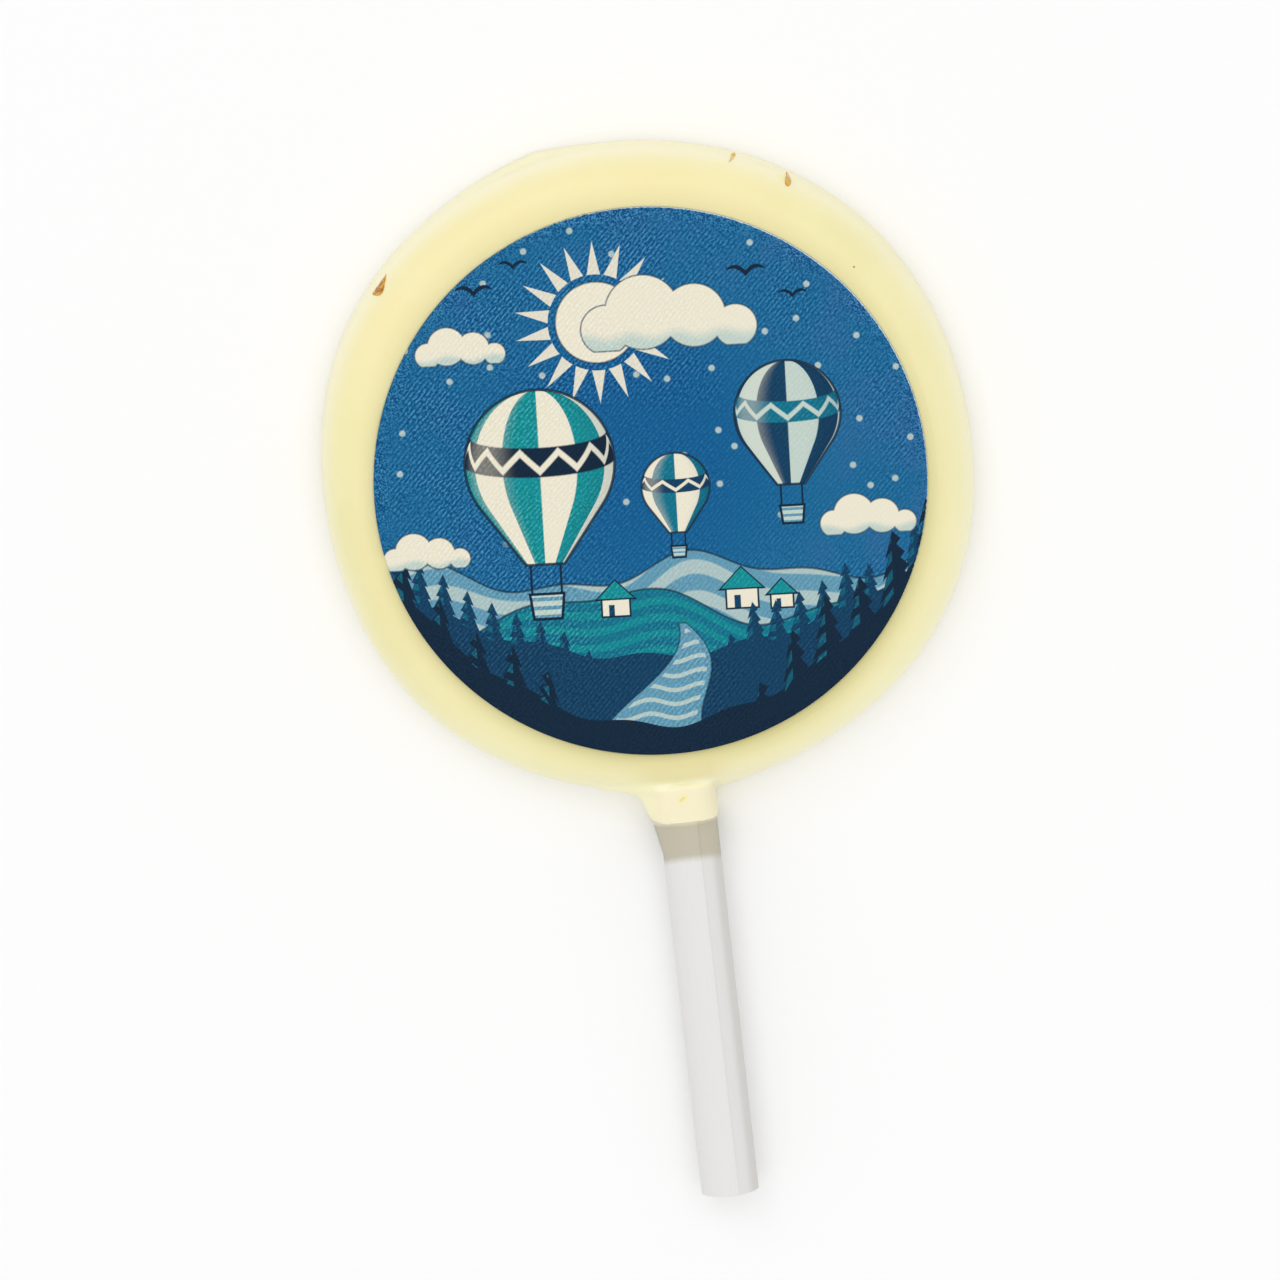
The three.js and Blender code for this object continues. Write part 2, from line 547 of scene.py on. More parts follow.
    def paint_collar(self, surface: Surface, front: Value) -> None:
        """Paints light and shade on the collar: a yellower painted shade in the crease above it, painted
        light over the stick and a painted highlight on its lip.

        Args:
            surface: the material's nodes.
            front: 1 towards the face and 0 on the back.
        """
        x, y, z = surface.x, surface.y, surface.z
        # Painted shade in the crease between the round and the collar.
        crease = abs(x).eased(6.5, 2.0) * abs(y - self.crease_y).eased(1.7, 0.7) * front
        surface.paint(self.painted_shade_yellow, crease * 0.55)
        # Painted light: the collar's face over the stick is painted paler.
        middle = abs(x - STICK_X).eased(4.4, 2.9) * y.eased(-33.1, -34.6) * z.eased(1.0, 5.0)
        surface.paint(self.over_stick, middle * 0.9)
        # Painted highlight: a near-white line along the collar's top edge.
        lip = abs(y - self.painted_highlight_y).eased(0.5, 0.15) * x.eased(-3.4, -1.6) * x.eased(3.7, 3.4)
        surface.paint(self.lip, lip * z.eased(5.6, 6.6) * 0.9)


@dataclass
class CastHead:
    """The round of chocolate and the collar that holds the stick.

    Each wave of the outline has its lobes, depth and turn. Each lip has the angle of its peak, its
    spans to both sides, its reach, and the heights between which it fades.
    """

    radius: float = 35.0
    back_round: float = 0.8
    side_lean: float = 0.2
    shoulder_width: float = 4.0
    shoulder_height: float = 6.0
    waves: tuple = ((2, 0.1, -116.0), (3, 0.11, -47.0), (4, 0.28, -158.0), (6, 0.08, -151.0))
    lips: tuple = ((103.0, 25.0, 12.5, 0.68, 1.0, 1.5), (-84.5, 20.0, 8.0, 0.66, 2.0, 6.0))
    lip_power: float = 1.5
    recess_radius: float = 29.28
    groove_depth: float = 0.1
    groove_width: float = 0.7
    collar_left: float = 3.74
    collar_right: float = 3.51
    collar_height: float = 7.5
    collar_round_start: float = 3.4
    collar_top: float = -33.6
    collar_edges: Pair = (0.16, 0.4)
    collar_fullness: float = 0.65
    corner_cut: float = 0.55
    flare_end: float = -34.7
    flare_lean: float = 1.05
    web_reach: float = 2.8
    web_power: float = 1.7
    web_drop: float = 1.3
    socket_mouth: float = 5.0
    inner_radius: float = 25.0
    far: float = 18.0
    columns: int = 720
    back_shares: tuple = (0.08, 0.2, 0.34, 0.48, 0.62, 0.76, 0.89)
    edge_slants: tuple = (-90, -72, -58, -49, -43, -40, -37.5, -35, -32.5, -30, -27.5, -25, -22.5,
                          -18, -12, -6)
    shoulder_rows: int = 40
    face_rows: int = 14
    collar_angle: float = 267.5
    crowding: float = 4.5
    ripples: int = 14
    ripple_lengths: Pair = (5.0, 16.0)
    ripple_depths: Pair = (0.012, 0.05)
    seed: int = 17
    finish: WhiteChocolate = field(default_factory=WhiteChocolate)

    @property
    def base(self) -> float:
        """The height where the shoulder starts."""
        return FACE_HEIGHT - self.shoulder_height

    def swell(self, angle: Array) -> Array:
        """How far the outline lies outside the plain circle at an angle in radians."""
        return sum(depth * np.cos(lobes * angle - math.radians(turn)) for lobes, depth, turn in self.waves)

    def lip(self, angle: Array, z: Array) -> Array:
        """Works out how far the lips stand out.

        Args:
            angle: the places' angles, in radians.
            z: their heights.

        Returns:
            How far the surface lies outside its plain outline there.
        """
        total = 0.0
        for peak, long_span, short_span, reach, low, high in self.lips:
            past = np.degrees(angle) - peak
            away = np.where(past > 0, past / long_span, -past / short_span)
            rise = reach * np.maximum(1 - away, 0) ** self.lip_power
            total = total + rise * (1 - smooth_step(z, low, high))
        return total

    def outside_round(self, places: Array) -> Array:
        """Works out roughly how far places lie outside the round.

        Args:
            places: one place to a row.

        Returns:
            The distances, less than 0 inside.
        """
        x, y, z = places.T
        wide, high = self.shoulder_width, self.shoulder_height
        flat, angle = np.hypot(x, y), np.arctan2(y, x)
        lean = self.side_lean * np.clip((self.base - z) / (self.base - self.back_round), 0, 1)
        out = flat - self.swell(angle) * flat / self.radius - self.lip(angle, z)
        past = np.maximum(out - lean - (self.radius - self.side_lean - wide), 0)
        up = np.maximum(z - self.base, 0)
        share = np.maximum(np.hypot(past / wide, up / high), 1e-6)
        slope = np.hypot(past / wide ** 2, up / high ** 2) / share
        bulge = (share - 1) / np.maximum(slope, 0.1)
        corner = np.hypot(np.maximum(out - self.radius + self.back_round, 0),
                          np.maximum(self.back_round - z, 0)) - self.back_round
        return np.maximum(bulge, corner)

    def outside_collar(self, places: Array) -> Array:
        """Works out roughly how far places lie outside the collar.

        Args:
            places: one place to a row.

        Returns:
            The distances, less than 0 inside.
        """
        x, y, z = places.T
        lean = np.clip((y - COLLAR_END) / (self.flare_end - COLLAR_END), 0, 1)
        web = np.clip((y - self.flare_end) / (self.collar_top - self.flare_end), 0, 1.1)
        left = self.collar_left + self.flare_lean * lean + self.web_reach * web ** self.web_power
        reach = np.where(x > 0, self.collar_right, left)
        drop = self.web_drop * smooth_step(-x, 1.8, 6.0) * smooth_step(y, -36.5, -34.0)
        rise = self.collar_height - drop - self.collar_round_start
        up = np.maximum(z - self.collar_round_start, 0) / rise
        power = 2 / self.collar_fullness
        around = (((np.abs(x) / reach) ** power + up ** power) ** (1 / power) - 1) * self.collar_right
        corner = (np.abs(x) - reach + self.back_round / 2 - z) / math.sqrt(2)
        edge = self.collar_edges[0] + np.diff(self.collar_edges) * smooth_step(y, -36.5, -35)
        around = np.maximum(around, corner) + edge
        end = COLLAR_END + self.corner_cut * smooth_step(-x, 1.6, 4.4) ** 1.5
        ends = np.maximum(end - y, y - self.collar_top) + edge
        beyond = np.hypot(np.maximum(around, 0), np.maximum(ends, 0))
        return beyond + np.minimum(np.maximum(around, ends), 0) - edge

    def outside(self, places: Array) -> Array:
        """Works out roughly how far places lie outside the cast, its collar run softly into the round.

        Args:
            places: one place to a row.

        Returns:
            The distances, less than 0 inside.
        """
        x, _, z = places.T
        softness = 0.3 + 1.5 * smooth_step(-x, 0.5, 4.5) * smooth_step(z, 2.5, 5.5)
        round_part, collar = self.outside_round(places), self.outside_collar(places)
        share = np.clip(0.5 + 0.5 * (collar - round_part) / softness, 0, 1)
        joined = collar + (round_part - collar) * share - softness * share * (1 - share)
        return np.maximum(joined, -z)

    def slope(self, places: Array) -> Array:
        """Finds the directions that lead straight out of the cast.

        Args:
            places: places on its surface, one to a row.

        Returns:
            The directions, of length 1.
        """
        steps = 0.02 * np.eye(3)
        slope = np.stack([self.outside(places + step) - self.outside(places - step) for step in steps], 1)
        return slope / np.maximum(np.linalg.norm(slope, axis=1, keepdims=True), 1e-9)

    def cross(self, start: Array, way: Array) -> Array:
        """Finds where lines leave the cast.

        Args:
            start: places inside the cast, one to a row.
            way: the lines' directions, of length 1.

        Returns:
            The places on the surface, one to a row.
        """
        low, high = np.zeros(len(start)), np.full(len(start), self.far)
        for _ in range(36):
            middle = (low + high) / 2
            out = self.outside(start + way * middle[:, None]) > 0
            low, high = np.where(out, low, middle), np.where(out, middle, high)
        return start + way * ((low + high) / 2)[:, None]

    def outline(self, angles: Array) -> tuple[Array, Array]:
        """Finds the outline at the height where the shoulder starts.

        Args:
            angles: the angles at which it is found, in radians.

        Returns:
            The angles' directions and the places on the outline.
        """
        ways = np.stack([np.cos(angles), np.sin(angles), 0 * angles], 1)
        return ways, self.cross(ways * self.inner_radius + [0, 0, self.base], ways)

    def column_angles(self) -> Array:
        """Spreads the mesh's columns over the outline, closer together round the collar.

        Returns:
            Their angles.
        """
        angles = np.linspace(0, TURN, 24001)
        steps = np.linalg.norm(np.diff(self.outline(angles)[1][:, :2], axis=0), axis=1)
        from_collar = np.degrees(angles[:-1]) - self.collar_angle
        weight = 1 + self.crowding * (1 - smooth_step(np.abs(from_collar), 8.5, 14))
        run = np.concatenate([[0], np.cumsum(steps * weight)])
        return np.interp(np.linspace(0, run[-1], self.columns + 1)[:-1], run, angles)

    def rings(self) -> list[Array]:
        """Lays out the mesh's rings, from the middle of the back over the edge to the recess's middle.

        Returns:
            Arrays of one place to a column, or of one place alone at the two middles.
        """
        ways, outline = self.outline(self.column_angles())
        reach = np.hypot(outline[:, 0], outline[:, 1]) - self.shoulder_width
        anchors = ways * reach[:, None] + [0, 0, self.base]
        back = [ways * (reach * share)[:, None] for share in self.back_shares]
        turns = np.linspace(0, math.pi / 2, self.shoulder_rows)
        shoulder = np.degrees(np.arctan2(self.shoulder_height * np.sin(turns),
                                         self.shoulder_width * np.cos(turns)))
        sides = [self.cross(anchors, ways * math.cos(slant) + [0, 0, math.sin(slant)])
                 for slant in np.radians([*self.edge_slants, *shoulder])]
        edge = np.array([*SHEET_CENTRE, 0]) + ways * self.recess_radius
        face = []
        for share in (np.arange(1, self.face_rows + 1) / self.face_rows) ** 1.3:
            ring = sides[-1] * (1 - share) + edge * share
            ring[:, 2] = self.base
            ring = self.cross(ring, np.array([0, 0, 1]))
            past = (from_sheet(ring) - self.recess_radius) / self.groove_width
            ring[:, 2] -= self.groove_depth * np.exp(-past ** 2)
            face.append(ring)
        middle = np.array([*SHEET_CENTRE, RECESS_FLOOR])
        floor = [middle + (edge - middle) * (share, share, 0) for share in (1.0, 0.93, 0.5)]
        return [np.zeros((1, 3)), *back, *sides, *face, *floor, middle[None]]

    def settle(self, places: Array) -> Array:
        """Sinks the surface by a shallow unevenness, apart from the flat back and the recess.

        Args:
            places: one place to a row.

        Returns:
            Where they come to lie.
        """
        draw = np.random.default_rng(self.seed)
        total = np.zeros(len(places))
        for _ in range(self.ripples):
            wave = draw.normal(size=3)
            wave *= TURN / draw.uniform(*self.ripple_lengths) / np.linalg.norm(wave)
            total += np.sin(places @ wave + draw.uniform(0, TURN))
        depth = self.ripple_depths[0] + self.ripple_depths[1] * np.clip(0.5 + total / 9, 0, 1)
        depth *= smooth_step(places[:, 2], 0.1, 1.2)
        depth *= smooth_step(from_sheet(places), self.recess_radius, self.recess_radius + 0.6)
        return places - self.slope(places) * depth[:, None]

    def build(self) -> Piece:
        """Makes the head with its socket, and dresses it.

        Returns:
            The piece.
        """
        rings = self.rings()
        places = self.settle(np.concatenate(rings))
        wide, last = self.columns, len(places) - 1
        column = np.arange(wide)
        after = (column + 1) % wide
        sides = list(zip(column.tolist(), after.tolist()))
        faces = [(0, b + 1, a + 1) for a, b in sides]
        for start in range(1, last - wide, wide):
            low, beside = start + column, start + after
            faces += np.stack([low, beside, beside + wide, low + wide], 1).tolist()
        faces += [(last - wide + a, last - wide + b, last) for a, b in sides]
        mesh = bpy.data.meshes.new("cast_head")
        mesh.from_pydata((places * MM).tolist(), [], faces)
        mesh.materials.append(self.finish.material())
        head = new_object("cast_head", mesh)
        self.cut_socket(head)
        smooth(head, 48)
        return head

    def cut_socket(self, head: Piece) -> None:
        """Cuts the blind socket for the stick from the collar's end.

        Args:
            head: the piece that is cut.
        """
        shape = bmesh.new()
        long = STICK_TOP - COLLAR_END + self.socket_mouth
        place = Matrix.Translation(Vector((STICK_X, STICK_TOP - long / 2, STICK_Z)) * MM)
        bmesh.ops.create_cone(shape, cap_ends=True, segments=96, radius1=STICK_RADIUS * MM,
                              radius2=STICK_RADIUS * MM, depth=long * MM,
                              matrix=place @ Matrix.Rotation(math.pi / 2, 4, "X"))
        mesh = written(shape, bpy.data.meshes.new("socket"))
        bar = new_object("socket", mesh)
        modifier = head.modifiers.new("Socket", "BOOLEAN")
        modifier.operation = "DIFFERENCE"
        modifier.solver = "EXACT"
        modifier.object = bar
        plain_mesh(head)
        bpy.data.objects.remove(bar)
        bpy.data.meshes.remove(mesh)


@dataclass(frozen=True)
class Amber:
    """Clear amber sugar, from deep brown to gold."""

    deep: Colour = linear(170, 106, 6)
    gold: Colour = linear(222, 172, 54)
    pale: Colour = linear(230, 202, 108)

    def material(self) -> Material:
        """Makes the material of the flecks.

        Returns:
            The material.
        """
        surface = Surface("amber_sugar", self.deep)
        cloud = surface.noise(surface.place, 1.6)
        surface.paint(self.gold, cloud.eased(0.4, 0.62))
        surface.paint(self.gold, surface.x.eased(-22, 16) * 0.6)
        surface.paint(self.pale, abs(surface.x - 12.5).eased(2.5, 1.0) * 0.8)
        return surface.finish({
            "Roughness": cloud.scaled(0.2, 0.15),
            "Normal": surface.bump(cloud, 0.03, 0.4),
            "Coat Weight": 0.1,
            "Specular IOR Level": 0.3,
        })


@dataclass(frozen=True)
class Fleck:
    """One fleck of sugar: a drop whose thin end and round end lie at two places on the cast.

    The lean is 1 or -1 where one side of the drop is straight, and 0 where it is even.
    """

    thin_end: Pair
    round_end: Pair
    half_width: float
    height: float
    lean: float = 0.0


@dataclass
class Flecks:
    """Small flecks of amber sugar that stand a little out of the cast's shoulder."""

    head: CastHead
    finish: Amber = field(default_factory=Amber)
    flecks: tuple = (
        Fleck((-24.95, 24.2), (-26.75, 22.2), 0.36, 0.16, 1.0),
        Fleck((18.2, 30.0), (18.25, 28.75), 0.34, 0.13),
        Fleck((12.2, 31.9), (13.08, 32.55), 0.2, 0.09),
    )
    rows: int = 12
    columns: int = 7
    depth: float = 0.2
    sink: float = 0.05
    lowest: float = 2.9

    def build(self) -> Piece:
        """Makes the flecks as one mesh and dresses it.

        Returns:
            The piece.
        """
        shape = bmesh.new()
        for fleck in self.flecks:
            self.add(shape, fleck)
        bmesh.ops.recalc_face_normals(shape, faces=shape.faces)
        mesh = written(shape, bpy.data.meshes.new("amber_flecks"))
        mesh.materials.append(self.finish.material())
        return new_object("amber_flecks", mesh)

    def add(self, shape: bmesh.types.BMesh, fleck: Fleck) -> None:
        """Adds a closed lens-like drop, its lower side sunk into the cast.

        Args:
            shape: the mesh that takes it.
            fleck: the drop's ends and size.
        """
        run, side = np.linspace(0.02, 0.98, self.rows), np.linspace(-1, 1, self.columns)
        half = fleck.half_width * np.sin(math.pi * run ** 1.7) ** 0.7
        start, end = np.array(fleck.thin_end), np.array(fleck.round_end)
        way = (end - start) / np.linalg.norm(end - start)
        offset = half[:, None] * (side + fleck.lean)
        flat = (start + np.outer(run, end - start))[:, None] + offset[..., None] * (-way[1], way[0])
        flat = flat.reshape(-1, 2)
        low = np.column_stack([flat, np.full(len(flat), self.lowest)])
        base = self.head.cross(low, np.array([0, 0, 1]))
        slope = self.head.slope(base)
        bulge = np.sqrt(np.outer(np.sin(math.pi * run), 1 - side ** 2)).reshape(-1, 1)
        tops = base + slope * (fleck.height * bulge - self.sink)
        unders = base - slope * self.depth * np.sqrt(bulge)
        upper, lower = ([shape.verts.new(place * MM) for place in layer] for layer in (tops, unders))
        grid = np.arange(len(flat)).reshape(self.rows, self.columns)
        corners = (grid[:-1, :-1], grid[:-1, 1:], grid[1:, 1:], grid[1:, :-1])
        for ring in np.stack([corner.ravel() for corner in corners], 1):
            shape.faces.new([upper[i] for i in ring])
            shape.faces.new([lower[i] for i in reversed(ring)])
        border = [*grid[0], *grid[1:, -1], *grid[-1, -2::-1], *grid[-2:0:-1, 0]]
        for first, second in zip(border, border[1:] + border[:1]):
            shape.faces.new([upper[second], upper[first], lower[first], lower[second]])


# Printed sheet


class Ink(Enum):
    """The inks of the printed sheet, as linear colours."""

    GROUND = linear(24, 101, 146)
    GROUND_DEEP = linear(2, 91, 142)
    GROUND_EDGE = linear(50, 99, 150)
    NAVY = linear(10, 36, 58)
    DEEP = linear(8, 61, 93)
    TEAL = linear(2, 112, 136)
    BRIGHT_TEAL = linear(4, 140, 146)
    PALE_BLUE = linear(96, 150, 174)
    PALE = linear(190, 206, 197)
    CREAM = linear(232, 226, 205)


class Sheet(Surface):
    """The drawing on the sheet, in which each shape is given as the distance to its edge.

    SOFT is how wide the blurred edge of an ink is.
    """

    SOFT = 0.07

    def __init__(self, turn: float) -> None:
        """Starts the drawing.

        Args:
            turn: how far the drawing is turned on the piece, in degrees.
        """
        super().__init__("printed_sheet", Ink.GROUND.value)
        way = way_of(turn)
        self.x, self.y = self.along(way, SHEET_CENTRE), self.across(way, SHEET_CENTRE)
        self.spot = self.vector(self.x, self.y)

    def seen_from(self, x: float, y: float, size: float) -> tuple[Value, Value]:
        """The place on the sheet as a motif's middle and size make it."""
        return self.x.scaled(1 / size, -x / size), self.y.scaled(1 / size, -y / size)

    def disc(self, x: float, y: float, radius: float) -> Value:
        """Distance to a round shape's edge."""
        return self.spot.away_from((x, y, 0)) - radius

    def box(self, x: float, y: float, wide: float, high: float) -> Value:
        """Distance to the edge of an upright box of those half sizes."""
        return (abs(self.x - x) - wide).most(abs(self.y - y) - high)

    def cover(self, shape: Value, soft: float = SOFT) -> Value:
        """1 inside a shape and 0 outside it."""
        return shape.scaled(-1 / soft, 0.5).held()

    def fill(self, ink: Ink, shape: Value, share: Number = 1.0, soft: float = SOFT) -> None:
        """Paints the inside of a shape."""
        self.paint(ink, self.cover(shape, soft) * share)

    def outline(self, shape: Value, half_width: float, share: float = 1.0, ink: Ink = Ink.NAVY) -> None:
        """Draws a line along a shape's edge."""
        self.fill(ink, abs(shape) - half_width, share)


@dataclass(frozen=True)
class Sun:
    """A sun with pointed rays."""

    x: float
    y: float
    radius: float = 4.3
    rays: int = 18
    rays_from: float = 5.1
    rays_to: float = 8.6

    def draw(self, sheet: Sheet) -> None:
        """Draws the rays, then the round sun.

        Args:
            sheet: the drawing.
        """
        reach = sheet.spot.away_from((self.x, self.y, 0))
        angle = sheet.math("ARCTAN2", sheet.y - self.y, sheet.x - self.x)
        beside = abs((angle * (self.rays / TURN)).part() - 0.5) * reach * (TURN / self.rays)
        sheet.fill(Ink.CREAM, (beside + (reach - self.rays_to) * 0.2).most(self.rays_from - reach), 0.9)
        sheet.fill(Ink.CREAM, reach - self.radius)
        sheet.outline(reach - self.radius, 0.1, 0.6)


@dataclass(frozen=True)
class Stars:
    """Small stars scattered over the sky."""

    closeness: float = 0.21
    radius: float = 0.07
    kept_from: float = 0.45

    def draw(self, sheet: Sheet) -> None:
        """Draws the stars.

        Args:
            sheet: the drawing.
        """
        cells = sheet.node("ShaderNodeTexVoronoi", {"voronoi_dimensions": "2D"},
                           {"Vector": sheet.spot, "Scale": self.closeness, "Randomness": 0.9})
        kept = Triple(sheet, cells.outputs["Color"]).split()[0] > self.kept_from
        dots = Value(sheet, cells.outputs["Distance"]) - self.radius
        sheet.fill(Ink.PALE, dots, kept * sheet.y.eased(-8, -2) * 0.8, 0.03)


@dataclass(frozen=True)
class Bird:
    """A bird far off, as two bowed wings."""

    x: float
    y: float
    half_width: float

    def draw(self, sheet: Sheet) -> None:
        """Draws the wings.

        Args:
            sheet: the drawing.
        """
        side, level = sheet.seen_from(self.x, self.y, self.half_width)
        side = abs(side)
        wing = abs(level - side * (1.25 - side)) - side.scaled(-0.1, 0.16)
        sheet.fill(Ink.NAVY, wing.most(side - 1.0), soft=0.05)


@dataclass(frozen=True)
class Cloud:
    """A flat-bottomed cloud made of round lumps."""

    x: float
    y: float
    size: float
    lumps: tuple = ((-5.2, 0.2, 2.2), (-1.9, 1.6, 3.3), (2.6, 1.1, 2.8), (6.2, 0.0, 1.9))
    base: float = -1.7

    def draw(self, sheet: Sheet) -> None:
        """Draws the cloud, its shaded underside and the line round it.

        Args:
            sheet: the drawing.
        """
        edge = None
        for x, y, radius in self.lumps:
            lump = sheet.disc(self.x + x * self.size, self.y + y * self.size, radius * self.size)
            edge = lump if edge is None else edge.least(lump)
        edge = edge.most(self.y + self.base * self.size - sheet.y)
        sheet.fill(Ink.CREAM, edge)
        under = sheet.y + (sheet.x * 1.3).sine() * 0.25
        sheet.fill(Ink.PALE, edge, under.eased(self.y + 0.2 * self.size, self.y - 1.1 * self.size))
        sheet.outline(edge, 0.09, 0.7, Ink.DEEP)


@dataclass(frozen=True)
class Hill:
    """A range of hills with streaks that follow its crest, which is a sum of waves."""

    level: float
    waves: tuple
    ink: Ink
    streak: Ink
    closeness: float

    def draw(self, sheet: Sheet) -> None:
        """Draws the hills, their streaks and the line along the crest.

        Args:
            sheet: the drawing.
        """
        depth = self.level - sheet.y
        for pace, shift, height in self.waves:
            depth = sheet.x.scaled(pace, shift).sine().scaled(height, depth)
        sheet.fill(self.ink, -depth)
        wave = depth.scaled(self.closeness, (sheet.x * 0.3).sine() * 1.4).sine()
        sheet.fill(self.streak, -depth, sheet.cover(wave + 0.1, 0.35) * 0.7)
        sheet.outline(depth, 0.12, 0.75)


@dataclass(frozen=True)
class House:
    """A small house with a steep roof and a door."""

    x: float
    y: float
    size: float

    def draw(self, sheet: Sheet) -> None:
        """Draws the house and a line round it.

        Args:
            sheet: the drawing.
        """
        x, y, size = self.x, self.y, self.size
        walls = sheet.box(x, y, size, size * 0.62)
        roof = (abs(sheet.x - x) + (sheet.y - y - 2.0 * size)).most(y + 0.6 * size - sheet.y)
        sheet.fill(Ink.CREAM, walls)
        sheet.fill(Ink.DEEP, sheet.box(x - 0.3 * size, y - 0.2 * size, 0.2 * size, 0.42 * size))
        sheet.fill(Ink.BRIGHT_TEAL, roof)
        sheet.outline(roof.least(walls), 0.1)


@dataclass(frozen=True)
class River:
    """A winding river that widens towards the foot of the drawing."""

    top: float = -15.2

    def draw(self, sheet: Sheet) -> None:
        """Draws the river and its ripples.

        Args:
            sheet: the drawing.
        """
        bend = sheet.y.scaled(0.33, 1.2).sine().scaled(2.4, 1.0)
        river = (abs(sheet.x - bend) - sheet.y.scaled(-0.44, -6.3)).most(sheet.y - self.top)
        sheet.fill(Ink.PALE_BLUE, river)
        sheet.outline(river, 0.1, 0.6)
        ripples = sheet.y.scaled(4.2, (sheet.x * 1.1).sine() * 1.3).sine() - 0.55
        sheet.fill(Ink.PALE, river + 0.5, sheet.cover(-ripples, 0.3) * 0.8)


@dataclass(frozen=True)
class Wood:
    """A bank of ground that rises to its sides, with a row of pines on both of them."""

    level: float
    rise: float
    gap: float
    ink: Ink
    wide: float

    def draw(self, sheet: Sheet) -> None:
        """Draws the ground and the trees, which stand evenly and have their own heights.

        Args:
            sheet: the drawing.
        """
        x, y, wide = sheet.x, sheet.y, self.wide
        ground = (x * x).scaled(self.rise, (x * 0.6 + wide).sine().scaled(0.4, self.level))
        cell = x.scaled(1 / wide, wide)
        own = sheet.value("ShaderNodeTexWhiteNoise", {"noise_dimensions": "1D"}, {"W": cell.whole()})
        tall = own.scaled(1.1, 0.9) * abs(x).eased(self.gap, self.gap + 7.0) * wide
        middle = cell.part() - 0.5
        down = ground + tall - y
        tiers = (down * (1.9 / wide)).part()
        branches = abs(middle) * wide - down.scaled(0.2, tiers * (0.13 * wide))
        trees = branches.most(-down).most(ground - y - 0.5)
        sheet.fill(self.ink, trees.least(y - ground))
        sheet.fill(Ink.TEAL, trees + 0.1, (middle < -0.04) * (tiers < 0.55) * 0.55)


@dataclass(frozen=True)
class Balloon:
    """A hot-air balloon with a striped envelope.

    In radii, the ropes have their distance from the middle line, their height and half their length,
    and the basket its height and half its width and depth.
    """

    x: float
    y: float
    radius: float
    gores: float
    light: Ink
    dark: Ink
    band: Ink
    line: float = 0.3
    mouth: float = 1.36
    taper: float = 0.58
    ropes: tuple[float, float, float] = (0.2, -1.55, 0.24)
    basket: tuple[float, float, float] = (-1.93, 0.44, 0.17)
    weave_pitch: float = 0.12

    def draw(self, sheet: Sheet) -> None:
        """Draws the basket, its ropes and the envelope.

        Args:
            sheet: the drawing.
        """
        x, y = sheet.seen_from(self.x, self.y, self.radius)
        line, soft = self.line / self.radius, sheet.SOFT / self.radius
        side = abs(x)
        self.draw_basket(sheet, side, y)
        upright = math.sqrt(1 - self.taper ** 2)
        dome = sheet.disc(self.x, self.y, self.radius) * (1 / self.radius)
        skirt = side.scaled(upright, y.scaled(-self.taper, -1.0))
        below = side.scaled(-self.taper, y * -upright) > 0.0
        edge = sheet.between(below, dome, skirt).most(-self.mouth - y)
        round_half = sheet.math("SQRT", (1 - y * y).most(0.0))
        half = sheet.between(y < -self.taper, round_half, y.scaled(self.taper / upright, 1 / upright))
        meridian = sheet.math("ARCSINE", (x / half.most(0.05)).held(-1.0, 1.0))
        inside = sheet.cover(edge, soft)
        sheet.paint(self.light, inside)
        sheet.fill(self.dark, meridian.scaled(self.gores).sine(), inside, 0.12)
        level = y + meridian.cosine() * 0.2
        zigzag = sheet.math("PINGPONG", meridian.scaled(self.gores / math.pi, 50.0), 0.5)
        stripe = abs(level - 0.22) - 0.2
        sheet.fill(self.band, stripe, inside, 0.02)
        peaks = abs(zigzag.scaled(0.5, 0.1 - level)) - 0.055
        sheet.fill(self.light, stripe.most(peaks), inside, 0.03)
        shade = meridian.eased(0.35, 1.3) * inside
        sheet.colour = sheet.blend(shade * 0.45, sheet.colour, (0.35, 0.5, 0.62), "MULTIPLY")
        glow = meridian.eased(-0.3, -0.75) * meridian.eased(-1.4, -0.9) * inside
        sheet.paint(Ink.CREAM, glow * 0.25)
        sheet.fill(Ink.NAVY, abs(edge) - line / 2, 0.9, soft)

    def draw_basket(self, sheet: Sheet, side: Value, y: Value) -> None:
        """Draws the basket and the ropes that carry it.

        Args:
            sheet: the drawing.
            side: the distance from the balloon's middle line, in radii.
            y: the height over the balloon's middle, in radii.
        """
        line, soft = self.line / self.radius, sheet.SOFT / self.radius
        beside, level, half = self.ropes
        ropes = (abs(side - beside) - line / 2.5).most(abs(y - level) - half)
        sheet.fill(Ink.NAVY, ropes, soft=soft)
        level, wide, high = self.basket
        basket = (side.scaled(1.0, y * -0.12) - wide).most(abs(y - level) - high)
        sheet.fill(Ink.PALE, basket, soft=soft)
        weave = sheet.cover(y.scaled(TURN / self.weave_pitch).sine() + 0.2, 0.4)
        sheet.fill(Ink.PALE_BLUE, basket, weave, soft)
        sheet.fill(Ink.NAVY, abs(basket) - line / 2, soft=soft)


